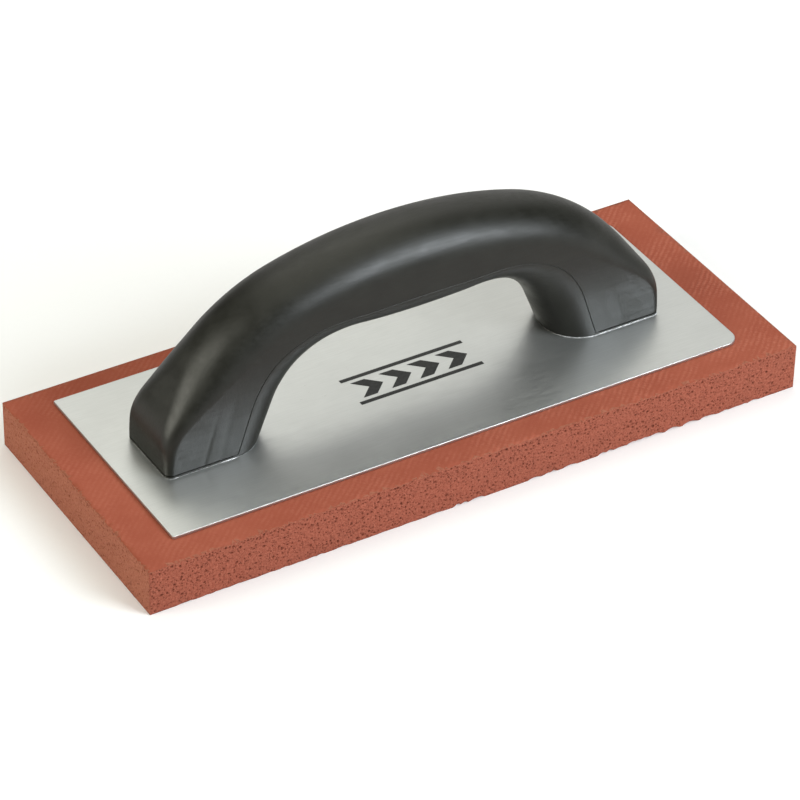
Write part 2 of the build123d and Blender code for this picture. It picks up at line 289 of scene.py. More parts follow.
class Nodes:
    """A short way to write a node tree."""

    def __init__(self, tree):
        self.tree = tree
        tree.nodes.clear()

    def add(self, kind, inputs=None, **settings):
        node = self.tree.nodes.new(kind)
        for name, value in settings.items():
            setattr(node, name, value)
        for name, value in (inputs or {}).items():
            self.put(node.inputs[name], value)
        return node

    def put(self, socket, value):
        if isinstance(value, bpy.types.NodeSocket):
            self.tree.links.new(value, socket)
        else:
            socket.default_value = value

    def math(self, operation, *values, clamp=False):
        node = self.add("ShaderNodeMath", operation=operation, use_clamp=clamp)
        for socket, value in zip(node.inputs, values):
            self.put(socket, value)
        return node.outputs[0]

    def ramp(self, value, low, high, bottom=0.0, top=1.0):
        """Maps value from low..high to bottom..top, held at both ends."""
        node = self.add("ShaderNodeMapRange", interpolation_type="SMOOTHSTEP")
        for name, number in (
            ("Value", value),
            ("From Min", low),
            ("From Max", high),
            ("To Min", bottom),
            ("To Max", top),
        ):
            self.put(node.inputs[name], number)
        return node.outputs[0]

    def mix(self, share, a, b):
        node = self.add("ShaderNodeMix", data_type="RGBA")
        self.put(node.inputs[0], share)
        self.put(node.inputs[6], a)
        self.put(node.inputs[7], b)
        return node.outputs[2]

    def place(self, stretch=(1, 1, 1), turn=0.0):
        """The point's place on the object, in millimetres, stretched and turned about Z."""
        where = self.add("ShaderNodeTexCoord").outputs["Object"]
        node = self.add("ShaderNodeMapping", {"Vector": where})
        node.inputs["Scale"].default_value = tuple(s / MM for s in stretch)
        node.inputs["Rotation"].default_value = (0, 0, turn)
        return node.outputs[0]

    def noise(self, place, scale, detail=3.0, roughness=0.5):
        node = self.add(
            "ShaderNodeTexNoise",
            {"Vector": place, "Scale": scale, "Detail": detail, "Roughness": roughness},
        )
        return node.outputs[0]

    def cells(self, place, scale, feature="F1"):
        node = self.add(
            "ShaderNodeTexVoronoi",
            {"Vector": place, "Scale": scale},
            feature=feature,
        )
        return node.outputs["Distance"]

    def bump(self, height, depth, base=None):
        inputs = {"Height": height, "Strength": 1.0, "Distance": depth * MM}
        if base is not None:
            inputs["Normal"] = base
        return self.add("ShaderNodeBump", inputs).outputs[0]


def new_material(name):
    material = bpy.data.materials.new(name)
    material.use_nodes = True
    return material, Nodes(material.node_tree)


def finish_material(nodes, **inputs):
    names = {
        "color": "Base Color",
        "roughness": "Roughness",
        "metallic": "Metallic",
        "normal": "Normal",
        "specular": "Specular IOR Level",
        "coat": "Coat Weight",
        "coat_roughness": "Coat Roughness",
        "glow": "Emission Color",
        "glow_strength": "Emission Strength",
    }
    shader = nodes.add(
        "ShaderNodeBsdfPrincipled", {names[k]: v for k, v in inputs.items()}
    )
    nodes.add("ShaderNodeOutputMaterial", {"Surface": shader.outputs[0]})


def rgb(red, green, blue):
    """A colour from its display values, 0 to 255."""

    def linear(value):
        share = value / 255
        return share / 12.92 if share <= 0.04045 else ((share + 0.055) / 1.055) ** 2.4

    return (linear(red), linear(green), linear(blue), 1.0)


def handle_plastic():
    """Black moulded plastic with a soft satin face, faint flow lines and fine scuffs."""
    material, n = new_material("handle_plastic")
    here = n.place()
    mottle = n.noise(here, 0.12, 4, 0.6)
    grain = n.noise(here, 3.0, 3, 0.6)
    peel = n.noise(here, 0.8, 3, 0.55)
    color = n.mix(n.ramp(mottle, 0.35, 0.7), rgb(24, 24, 18), rgb(30, 30, 24))
    streak = n.noise(n.place((0.05, 1.2, 1.2)), 1.0, 4, 0.7)
    rub = n.noise(n.place((0.35, 1.0, 2.6), radians(20)), 1.0, 5, 0.75)
    rub = n.math("MULTIPLY", n.ramp(rub, 0.62, 0.74), n.ramp(n.noise(here, 0.09, 2, 0.5), 0.5, 0.62))
    color = n.mix(n.math("MULTIPLY", rub, 0.5), color, rgb(70, 71, 70))
    rough = n.math(
        "ADD", n.ramp(mottle, 0.3, 0.7, 0.39, 0.48), n.ramp(streak, 0.4, 0.75, -0.03, 0.06)
    )
    rough = n.math("ADD", rough, n.math("MULTIPLY", rub, 0.12))
    normal = n.bump(grain, 0.012)
    normal = n.bump(peel, 0.022, normal)
    normal = n.bump(streak, 0.02, normal)
    finish_material(n, color=color, roughness=rough, normal=normal, specular=0.5)
    return material


def plate_aluminium():
    """Satin mill-finish aluminium: fine grain along the sheet and faint smears."""
    material, n = new_material("plate_aluminium")
    grain = n.noise(n.place((0.12, 3.0, 3.0)), 1.0, 4, 0.65)
    smear = n.noise(n.place(), 0.03, 4, 0.6)
    color = n.mix(n.ramp(smear, 0.3, 0.7), rgb(204, 206, 205), rgb(211, 213, 212))
    color = n.mix(n.ramp(grain, 0.35, 0.7, 0.0, 0.2), color, rgb(190, 192, 191))
    rough = n.math("ADD", n.ramp(smear, 0.3, 0.7, 0.34, 0.38), n.ramp(grain, 0.3, 0.7, -0.07, 0.07))
    normal = n.bump(grain, 0.014)
    finish_material(n, color=color, roughness=rough, metallic=0.87, normal=normal)
    return material


def sponge_rubber():
    """Brick-red cellular rubber: open pores on the cut faces, dark with painted shade in their pits, a
    cloth-marked skin on top.
    """
    material, n = new_material("sponge_rubber")
    here = n.place()
    cut = n.add("ShaderNodeAttribute", attribute_name="cut").outputs["Fac"]
    painted_pit_shade = n.add("ShaderNodeAttribute", attribute_name="painted_pit_shade").outputs["Fac"]
    blotch = n.noise(here, 0.05, 4, 0.6)
    speck = n.noise(here, 1.3, 4, 0.75)
    skin = n.mix(n.ramp(blotch, 0.3, 0.7), rgb(152, 78, 59), rgb(159, 85, 65))
    skin = n.mix(n.ramp(speck, 0.5, 0.75, 0.0, 0.45), skin, rgb(173, 100, 79))
    face = n.mix(n.ramp(speck, 0.25, 0.75), rgb(134, 67, 51), rgb(176, 102, 81))
    end = n.mix(n.ramp(speck, 0.25, 0.75), rgb(142, 80, 60), rgb(172, 110, 88))
    sides = n.mix(n.ramp(cut, 0.76, 0.98), end, face)
    sides = n.mix(n.ramp(blotch, 0.35, 0.75, 0.0, 0.25), sides, rgb(150, 88, 70))
    color = n.mix(n.ramp(cut, 0.3, 0.5), skin, sides)
    cell = n.cells(here, 1.6)
    # Small pores: bumped in below the surface, and their colour darkened with painted shade.
    small_pits_and_painted_shade = n.ramp(cell, 0.12, 0.34, 1.0, 0.0)
    sparse = n.ramp(n.noise(here, 0.7, 2, 0.5), 0.36, 0.54)
    small_pits_and_painted_shade = n.math("MULTIPLY", n.math("MULTIPLY", small_pits_and_painted_shade, sparse), cut)
    # Painted shade: the small pores are darkened in colour.
    color = n.mix(n.math("MULTIPLY", small_pits_and_painted_shade, 0.72), color, rgb(104, 50, 38))
    # Painted shade: the pores' pits are darkened in colour by their share of painted shade.
    color = n.mix(n.math("MULTIPLY", painted_pit_shade, 0.55), color, rgb(98, 46, 34))
    across = n.add(
        "ShaderNodeTexWave",
        {
            "Vector": n.place(turn=CLOTH_TURNS[0]),
            "Scale": 0.18,
            "Distortion": 3.0,
            "Detail": 3.0,
            "Detail Scale": 0.5,
            "Detail Roughness": 0.6,
        },
        bands_direction="X",
    ).outputs["Fac"]
    along = n.add(
        "ShaderNodeTexWave",
        {"Vector": n.place(turn=CLOTH_TURNS[1]), "Scale": 0.25, "Distortion": 1.5},
        bands_direction="X",
    ).outputs["Fac"]
    cloth = n.math("ADD", n.math("MULTIPLY", across, 0.8), n.math("MULTIPLY", along, 0.2))
    cloth = n.math("MULTIPLY", cloth, n.ramp(n.noise(here, 0.07, 3, 0.6), 0.38, 0.6, 0.2, 1.0))
    cloth = n.math("MULTIPLY", cloth, n.ramp(n.noise(here, 0.55, 3, 0.7), 0.36, 0.6, 0.35, 1.15))
    where_x = n.add("ShaderNodeSeparateXYZ", {"Vector": here}).outputs["X"]
    cloth = n.math("MULTIPLY", cloth, n.ramp(where_x, *CLOTH_CLEARS, 0.5, 1.0))
    skinned = n.math("SUBTRACT", 1.0, n.ramp(cut, 0.3, 0.5))
    cloth = n.math("MULTIPLY", cloth, skinned)
    color = n.mix(n.math("MULTIPLY", cloth, 0.55), color, rgb(181, 108, 87))
    grain = n.noise(here, 2.6, 3, 0.7)
    height = n.math("SUBTRACT", n.math("MULTIPLY", grain, 0.8), small_pits_and_painted_shade)
    height = n.math("MULTIPLY", height, n.ramp(cut, 0.3, 0.5, 0.15, 1.0))
    normal = n.bump(height, 0.22)
    normal = n.bump(cloth, 0.10, normal)
    finish_material(n, color=color, roughness=0.9, normal=normal, specular=0.15)
    return material


def bead_with_painted_glint():
    """Clear adhesive squeezed out under the handle, glassy; its pale, cloudy colour is a painted glint.
    """
    material, n = new_material("bead_with_painted_glint")
    cloud = n.noise(n.place(), 0.9, 3, 0.6)
    # Painted glint: the bead's pale, milky colour stands in for the bright glint along it.
    color = n.mix(n.ramp(cloud, 0.35, 0.65), rgb(150, 151, 150), rgb(232, 233, 233))
    finish_material(n, color=color, roughness=0.14, normal=n.bump(cloud, 0.03), specular=0.6)
    return material


def print_ink():
    """Flat black ink, a little uneven."""
    material, n = new_material("print_ink")
    patch = n.noise(n.place(), 0.8, 4, 0.7)
    color = n.mix(n.ramp(patch, 0.35, 0.75), rgb(38, 38, 37), rgb(52, 52, 50))
    finish_material(n, color=color, roughness=0.55, specular=0.35)
    return material


def dried_adhesive():
    """Amber contact adhesive, clouded by tiny bubbles."""
    material, n = new_material("contact_adhesive")
    bubbles = n.cells(n.place(), 1.6)
    color = n.mix(n.ramp(bubbles, 0.1, 0.5), rgb(205, 184, 140), rgb(184, 158, 108))
    finish_material(n, color=color, roughness=0.35, normal=n.bump(bubbles, 0.05))
    return material


def screw_steel():
    """Bright zinc plating with a cloudy, slightly blue cast."""
    material, n = new_material("screw_steel")
    cloud = n.noise(n.place(), 0.9, 4, 0.6)
    color = n.mix(n.ramp(cloud, 0.3, 0.7), rgb(188, 193, 198), rgb(206, 208, 208))
    rough = n.ramp(cloud, 0.3, 0.7, 0.22, 0.36)
    finish_material(n, color=color, roughness=rough, metallic=1.0)
    return material


def floor_paper():
    """Plain pale studio paper."""
    material, n = new_material("floor_paper")
    fiber = n.noise(n.place(), 0.5, 3, 0.6)
    color = n.mix(fiber, (0.86, 0.86, 0.86, 1.0), (0.88, 0.88, 0.88, 1.0))
    finish_material(
        n,
        color=color,
        roughness=0.85,
        specular=0.1,
        glow=(1.0, 1.0, 1.0, 1.0),
        glow_strength=FLOOR_GLOW,
    )
    return material


def backdrop_white():
    """The evenly lit wall behind the floor."""
    material, n = new_material("backdrop_white")
    cloud = n.noise(n.place(), 0.002, 2, 0.5)
    color = n.mix(cloud, (0.97, 0.97, 0.97, 1.0), (1.0, 1.0, 1.0, 1.0))
    finish_material(
        n, color=(0.0, 0.0, 0.0, 1.0), specular=0.0, glow=color, glow_strength=BACKDROP_RADIANCE
    )
    return material


# =====================================================================================
# Handle
# =====================================================================================


class Profile:
    """The handle's side view, as distances from its middle at a height above the plate."""

    def __init__(self, lift):
        self.lift = lift
        crown = (0.0, CROWN_HEIGHT - CROWN_RADIUS)
        reach = CROWN_RADIUS - SHOULDER_RADIUS
        shoulder = (reach * sin(CROWN_ANGLE), crown[1] + reach * cos(CROWN_ANGLE))
        offset = shoulder[0] * sin(SLOPE_ANGLE) + shoulder[1] * cos(SLOPE_ANGLE)
        offset += SHOULDER_RADIUS
        knee_u = HALF_LENGTH - KNEE_RADIUS
        knee_h = (offset - KNEE_RADIUS - knee_u * sin(SLOPE_ANGLE)) / cos(SLOPE_ANGLE)
        self.slope = offset - lift * cos(SLOPE_ANGLE)
        self.crown = self.lower(crown)
        self.shoulder = self.lower(shoulder)
        self.knee = self.lower((knee_u, knee_h))
        corner_h = WINDOW_HEIGHT - WINDOW_CORNER_RADIUS
        corner_u = WINDOW_HALF_LENGTH - corner_h * tan(LEG_TILT)
        corner_u -= WINDOW_CORNER_RADIUS / cos(LEG_TILT)
        drop = UNDERSIDE_HEIGHT - corner_h
        self.swell_radius = (corner_u**2 + drop**2 - WINDOW_CORNER_RADIUS**2) / (
            2 * (WINDOW_CORNER_RADIUS - drop)
        )
        swell = (0.0, UNDERSIDE_HEIGHT + self.swell_radius)
        share = self.swell_radius / (self.swell_radius + WINDOW_CORNER_RADIUS)
        swell_end = (corner_u * share, mix(swell[1], corner_h, share))
        self.corner = self.lower((corner_u, corner_h))
        self.swell = self.lower(swell)
        self.swell_end = self.lower(swell_end)
        self.leg = WINDOW_HALF_LENGTH - lift * tan(LEG_TILT)

    def lower(self, point):
        """A point as seen from the rays' middle, which is lifted off the plate."""
        return (point[0], point[1] - self.lift)

    def on_arc(self, centre, radius, angle):
        """The bearing of the point on an arc at an angle from its top."""
        return np.arctan2(centre[1] + radius * cos(angle), centre[0] + radius * sin(angle))

    def to_circle(self, theta, centre, radius, side=1):
        """How far a ray goes to a circle's far side, or to its near one if side is -1."""
        along = centre[0] * np.cos(theta) + centre[1] * np.sin(theta)
        off = centre[0] ** 2 + centre[1] ** 2 - along**2
        return along + side * np.sqrt(np.maximum(radius**2 - off, 0))

    def outer(self, theta):
        return np.select(
            [
                theta < self.on_arc(self.knee, KNEE_RADIUS, pi / 2),
                theta < self.on_arc(self.knee, KNEE_RADIUS, SLOPE_ANGLE),
                theta < self.on_arc(self.shoulder, SHOULDER_RADIUS, SLOPE_ANGLE),
                theta < self.on_arc(self.shoulder, SHOULDER_RADIUS, CROWN_ANGLE),
            ],
            [
                HALF_LENGTH / np.cos(theta),
                self.to_circle(theta, self.knee, KNEE_RADIUS),
                self.slope / np.cos(pi / 2 - SLOPE_ANGLE - theta),
                self.to_circle(theta, self.shoulder, SHOULDER_RADIUS),
            ],
            self.to_circle(theta, self.crown, CROWN_RADIUS),
        )

    def inner(self, theta):
        return np.select(
            [
                theta < self.on_arc(self.corner, WINDOW_CORNER_RADIUS, pi / 2 - LEG_TILT),
                theta < np.arctan2(self.swell_end[1], self.swell_end[0]),
            ],
            [
                self.leg * cos(LEG_TILT) / np.cos(theta - LEG_TILT),
                self.to_circle(theta, self.corner, WINDOW_CORNER_RADIUS),
            ],
            self.to_circle(theta, self.swell, self.swell_radius, side=-1),
        )


def section_sizes(degrees, lift, inset=0.0):
    """The handle's section on each ray: its reaches, half width and corner sizes."""
    at = np.minimum(degrees, 180 - degrees)
    theta = np.radians(at)
    profile = Profile(lift)
    dome = blend(DOME_GROWS, at)
    width = mix(FOOT_HALF_WIDTH, GRIP_HALF_WIDTH, blend(WIDTH_GROWS, at)) - inset
    nose = mix(NOSE_DEPTH_FOOT, NOSE_DEPTH_LEG, blend(NOSE_GROWS, at))
    nose = mix(nose, NOSE_DEPTH_GRIP, blend(NOSE_SHRINKS, at))
    joint = profile.inner(theta) + nose
    nose_side = mix(width, NOSE_HALF_WIDTH_GRIP - inset, blend(NOSE_SHRINKS, at))
    dome_side = mix(FOOT_CORNER, DOME_HALF_WIDTH, dome) - inset
    return {
        "low": profile.inner(theta) + inset,
        "high": profile.outer(theta) - inset,
        "joint": joint,
        "width": width,
        "dome_depth": np.maximum(MIN_CORNER, mix(FOOT_CORNER, DOME_DEPTH, dome) - inset),
        "dome_flat": np.maximum(MIN_FLAT, width - np.maximum(MIN_CORNER, dome_side)),
        "nose_depth": nose - inset,
        "nose_flat": np.maximum(MIN_FLAT, width - nose_side),
    }


def over_dome(s):
    """Points from the joint up one side, over the top and down to the joint again."""
    half = []
    for step, depth in zip(JOINT_STEPS, JOINT_DEPTHS):
        half.append((s["joint"] + JOINT_GAP + step, s["width"] - depth))
    side_low = s["joint"] + JOINT_GAP + JOINT_STEPS[-1]
    side_high = s["high"] - s["dome_depth"]
    for k in range(1, SIDE_STEPS):
        half.append((mix(side_low, side_high, k / SIDE_STEPS), s["width"]))
    dome_side = s["width"] - s["dome_flat"]
    for k in range(ROUND_STEPS + 1):
        angle = k / ROUND_STEPS * pi / 2
        q = side_high + s["dome_depth"] * sin(angle)
        half.append((q, s["dome_flat"] + dome_side * cos(angle)))
    flat = [
        (s["high"], s["dome_flat"] * (1 - 2 * k / FLAT_STEPS)) for k in range(1, FLAT_STEPS)
    ]
    return half + flat + [(q, -y) for q, y in reversed(half)]


def under_dome(s):
    """Points back along the outer shell's hollow, with the walls between."""
    half = [(s["joint"] + JOINT_GAP, s["width"])]
    side_high = s["high"] - s["dome_depth"]
    half.append((mix(s["joint"], side_high, 0.5), s["width"]))
    dome_side = s["width"] - s["dome_flat"]
    for k in range(HOLLOW_STEPS + 1):
        angle = k / HOLLOW_STEPS * pi / 2
        q = side_high + s["dome_depth"] * sin(angle)
        half.append((q, s["dome_flat"] + dome_side * cos(angle)))
    return [(q, -y) for q, y in half] + [(q, y) for q, y in reversed(half)]


def round_nose(s):
    """Points from the joint round the handle's inner face to the joint again."""
    half = []
    nose_side = s["width"] - s["nose_flat"]
    for step, depth in zip(JOINT_STEPS, JOINT_DEPTHS):
        angle = np.arcsin((JOINT_GAP + step) / s["nose_depth"])
        q = s["joint"] - s["nose_depth"] * np.sin(angle)
        half.append((q, s["nose_flat"] + nose_side * np.cos(angle) - depth))
    first = np.arcsin((JOINT_GAP + JOINT_STEPS[-1]) / s["nose_depth"])
    for k in range(1, ROUND_STEPS + 1):
        angle = mix(first, pi / 2, k / ROUND_STEPS)
        q = s["joint"] - s["nose_depth"] * np.sin(angle)
        half.append((q, s["nose_flat"] + nose_side * np.cos(angle)))
    flat = [(s["low"], s["nose_flat"] * (1 - 2 * k / FLAT_STEPS)) for k in range(1, FLAT_STEPS)]
    return half + flat + [(q, -y) for q, y in reversed(half)]


def inside_nose(s):
    """Points back along the inner shell's hollow."""
    half = [(s["joint"] - JOINT_GAP, s["width"])]
    nose_side = s["width"] - s["nose_flat"]
    for k in range(1, HOLLOW_STEPS + 1):
        angle = k / HOLLOW_STEPS * pi / 2
        q = s["joint"] - s["nose_depth"] * sin(angle)
        half.append((q, s["nose_flat"] + nose_side * cos(angle)))
    return [(q, -y) for q, y in half] + [(q, y) for q, y in reversed(half)]


def even_bearings():
    """Bearings that are evenly spaced along the handle's outer profile."""
    fine = np.linspace(0, 180, FINE_BEARINGS)
    s = section_sizes(fine, SOLE)
    theta = np.radians(fine)
    u, h = s["high"] * np.cos(theta), s["high"] * np.sin(theta)
    run = np.concatenate([[0], np.cumsum(np.hypot(np.diff(u), np.diff(h)))])
    return np.interp(np.linspace(0, run[-1], SECTIONS), run, fine)


def sink(u, h):
    """Depth of the shallow sink lines that the bosses and ribs leave on the feet's sides."""
    total = 0.0
    for depth, offset, lean, half_width, fades in SINK_LINES:
        away = np.abs(u) - SCREW_U - offset + lean * h
        total = total + depth * np.exp(-((away / half_width) ** 2)) * blend(fades, h)
    return total


def ring_solid(bearings, ring, centre, base, lift):
    """Sweeps a closed section round the handle, and caps it at both feet."""
    theta = np.radians(bearings)[:, None]
    q, y = (np.stack(np.broadcast_arrays(*part), axis=-1) for part in zip(*ring))
    u, h = q * np.cos(theta), q * np.sin(theta) + lift
    y = y - np.sign(y) * sink(u, h) * (np.abs(y) > FOOT_HALF_WIDTH - SINK_REACH)
    points = np.stack([centre[0] + u, centre[1] + y, base + h], axis=-1)
    sections, around = q.shape
    index = np.arange(sections * around).reshape(sections, around)
    caps = [index[0].tolist(), index[-1][::-1].tolist()]
    return points.reshape(-1, 3), wrap(index) + caps


def sole_solid(end, centre, base):
    """One foot's sole: a thin plate of the foot's outline, rounded below, grooved above."""
    loops = []
    for level, curl, groove in SOLE_LEVELS:
        sizes = foot_sizes(level)
        outline = over_foot(sizes)
        tangent = np.roll(outline, -1, 0) - np.roll(outline, 1, 0)
        inward = np.stack([-tangent[:, 1], tangent[:, 0]], axis=-1)
        inward /= np.linalg.norm(inward, axis=1, keepdims=True)
        span = [sizes["joint"] + shift for shift in SOLE_GROOVE_SPAN]
        drawn_in = curl + groove * blend(span, outline[:, 0])
        outline = outline + inward * drawn_in[:, None]
        x = centre[0] + end * outline[:, 0]
        y = centre[1] + outline[:, 1]
        loops.append(np.stack([x, y, np.full(len(x), base + level)], axis=-1))
    return stacked(loops)


def foot_sizes(height):
    """A foot's section sizes at one height above the plate."""
    return {key: float(value[0]) for key, value in section_sizes(np.array([0.0]), height).items()}


def over_foot(s):
    """The foot's outline, anticlockwise from its outer end, as (u, y)."""
    corner = FOOT_CORNER
    half = [(s["high"], 0.0)]
    for k in range(FOOT_CORNER_STEPS + 1):
        angle = k / FOOT_CORNER_STEPS * pi / 2
        q = s["high"] - corner + corner * cos(angle)
        half.append((q, s["width"] - corner + corner * sin(angle)))
    for k in range(1, FOOT_SIDE_STEPS):
        half.append((mix(s["high"] - corner, s["joint"], k / FOOT_SIDE_STEPS), s["width"]))
    for k in range(FOOT_NOSE_STEPS):
        angle = k / FOOT_NOSE_STEPS * pi / 2
        q = s["joint"] - s["nose_depth"] * sin(angle)
        half.append((q, s["width"] * cos(angle)))
    half.append((s["low"], 0.0))
    mirrored = [(q, -y) for q, y in reversed(half[1:-1])]
    return np.array(half + mirrored)


def handle_place():
    """The handle's middle in plan, and the height of the plate that it stands on."""
    low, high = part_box("handle_outer_shell")
    centre = ((low.x + high.x) / 2 / MM, (low.y + high.y) / 2 / MM)
    return centre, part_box("backing_plate")[1].z / MM


def handle(material):
    """Both handle shells."""
    centre, base = handle_place()
    bearings = even_bearings()
    whole = section_sizes(bearings, SOLE)
    hollow = section_sizes(bearings, SOLE, WALL)
    ring = over_dome(whole) + under_dome(hollow)
    outer = mesh_piece(
        "handle_outer_moulding", *ring_solid(bearings, ring, centre, base, SOLE), material
    )
    ring = round_nose(whole) + inside_nose(hollow)
    points, faces = ring_solid(bearings, ring, centre, base, SOLE)
    for end in (1, -1):
        more, sole_faces = sole_solid(end, centre, base)
        faces = faces + [[k + len(points) for k in face] for face in sole_faces]
        points = np.concatenate([points, more])
    inner = mesh_piece("handle_inner_moulding", points, faces, material)
    for piece, node in ((outer, "handle_outer_shell"), (inner, "handle_inner_shell")):
        turn_faces_out(piece)
        flatten_caps(piece)
        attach(piece, "root")
        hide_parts(node)


def foot_bead(end, centre, base, rng, material):
    """A thin, broken bead where one foot meets the plate, thickest along its front."""
    sizes = foot_sizes(0.0)
    outline = over_foot(sizes)
    closed = np.vstack([outline, outline[:1]])
    run = np.concatenate([[0], np.cumsum(np.hypot(*np.diff(closed, axis=0).T))])
    at = np.linspace(0, run[-1], BEAD_POINTS, endpoint=False)
    path = np.stack([np.interp(at, run, closed[:, k]) for k in (0, 1)], axis=-1)
    tangent = np.roll(path, -2, 0) - np.roll(path, 2, 0)
    out = np.stack([tangent[:, 1], -tangent[:, 0]], axis=-1)
    out /= np.linalg.norm(out, axis=1, keepdims=True)
    wobble = np.zeros(BEAD_POINTS)
    for waves in BEAD_WAVES:
        wobble += np.sin(2 * pi * (waves * at / run[-1] + rng.random())) / sqrt(waves)
    fill = BEAD_RIGHT_FILL if end > 0 else left_blobs(path[:, 0], sizes)
    share = BEAD_BARE + blend(BEAD_FRONT, -path[:, 1]) * fill + BEAD_WOBBLE[end] * wobble
    radius = BEAD_RADIUS * np.clip(share, BEAD_THINNEST, 1.0)
    rows = []
    for k in range(BEAD_ARC + 1):
        angle = k / BEAD_ARC * pi / 2
        spot = path + out * (radius * cos(angle) - BEAD_BITE)[:, None]
        rows.append((spot, radius * sin(angle)))
    rows.append((path - out * BEAD_ROOT, np.zeros(BEAD_POINTS)))
    points = [
        np.column_stack([centre[0] + end * spot[:, 0], centre[1] + spot[:, 1], base + height])
        for spot, height in rows
    ]
    index = np.arange(len(rows) * BEAD_POINTS).reshape(len(rows), BEAD_POINTS)
    faces = wrap(np.concatenate([index, index[:1]]))
    name = "foot_bead_right" if end > 0 else "foot_bead_left"
    piece = mesh_piece(name, np.concatenate(points), faces, material)
    turn_faces_out(piece)
    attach(piece, "root")


def left_blobs(u, sizes):
    """The left foot's bead is full only in its blobs, which the foot's sizes place."""
    total = 0.0
    for start, shift, half_length, share in BEAD_LEFT_BLOBS:
        away = u - sizes[start] - shift
        total = total + share * np.exp(-((away / half_length) ** 2))
    return total


def foot_beads(material):
    """The beads round both feet."""
    centre, base = handle_place()
    rng = np.random.default_rng(BEAD_SEED)
    for end in (1, -1):
        foot_bead(end, centre, base, rng, material)


# =====================================================================================
# Pad
# =====================================================================================


def scatter(rng, width, height, spacing):
    """Points about evenly spread over a rectangle, one near each cell of a grid."""
    across = max(2, int(width / spacing))
    up = max(2, int(height / spacing))
    i, j = np.meshgrid(np.arange(across), np.arange(up), indexing="ij")
    cells = np.stack([i.ravel(), j.ravel()], axis=-1) + rng.uniform(*JITTER, (across * up, 2))
    return cells * (width / across, height / up)


def thin_out(centres, radii, size, gap):
    """Keeps the pores that don't touch one kept before them."""
    kept = []
    cell = 2 * radii.max() + gap
    table = {}
    for k, (centre, radius) in enumerate(zip(centres, radii)):
        if not all(radius + gap < c < s - radius - gap for c, s in zip(centre, size)):
            continue
        key = (int(centre[0] // cell), int(centre[1] // cell))
        near = [
            n
            for dx in (-1, 0, 1)
            for dy in (-1, 0, 1)
            for n in table.get((key[0] + dx, key[1] + dy), ())
        ]
        if all(hypot(*(centre - centres[n])) > radius + radii[n] + gap for n in near):
            kept.append(k)
            table.setdefault(key, []).append(k)
    return kept


def pitted_sheet(rng, border, size, pores, spacing, rough):
    """
    A flat rectangle with round pits, as points (across, up, out), faces and each point's share of
    painted pit shade.

    The border's points come first, in the order given.
    """
    centres, radii = pores
    kept = thin_out(centres, radii, size, PORE_GAP) if len(radii) else []
    centres, radii = centres[kept], radii[kept]
    flat = [border, scatter(rng, size[0], size[1], spacing)]
    deep = [np.zeros(len(border)), -rng.uniform(0, rough, len(flat[1]))]
    painted_pit_shade = [np.zeros(len(border)), np.zeros(len(flat[1]))]
    limit = np.array(size) - EDGE_CLEAR
    inside = np.all((flat[1] > EDGE_CLEAR) & (flat[1] < limit), axis=1)
    free = inside & ~covered(flat[1], centres, radii)
    flat[1], deep[1], painted_pit_shade[1] = flat[1][free], deep[1][free], painted_pit_shade[1][free]
    turn = rng.uniform(0, 2 * pi, len(centres))
    squash = rng.uniform(*PORE_SQUASH, len(centres))
    for reach, depth, share in PORE_PROFILE:
        for k in range(PORE_RING if reach else 1):
            angle = turn + 2 * pi * k / PORE_RING
            way = np.stack([np.cos(angle), squash * np.sin(angle)], axis=-1)
            flat.append(centres + reach * radii[:, None] * way)
            deep.append(-depth * radii)
            painted_pit_shade.append(np.full(len(centres), share))
    flat, deep, painted_pit_shade = np.concatenate(flat), np.concatenate(deep), np.concatenate(painted_pit_shade)
    result = delaunay_2d_cdt([Vector(p) for p in flat], [], [], 0, SAME_POINT)
    source = [origin[0] for origin in result[3]]
    faces = np.array([[source[k] for k in face] for face in result[2]])
    return np.column_stack([flat, deep]), faces, painted_pit_shade


def covered(points, centres, radii):
    """Which points lie on a pore."""
    hidden = np.zeros(len(points), bool)
    order = np.argsort(points[:, 0])
    along = points[order, 0]
    for centre, radius in zip(centres, radii):
        reach = radius + PORE_CLEAR
        start, stop = np.searchsorted(along, [centre[0] - reach, centre[0] + reach])
        near = order[start:stop]
        hidden[near] |= ((points[near] - centre) ** 2).sum(axis=1) < reach**2
    return hidden


def edge_run(length, step):
    """Evenly spaced points along an edge, its two ends included."""
    return np.linspace(0, length, max(2, int(round(length / step)) + 1))


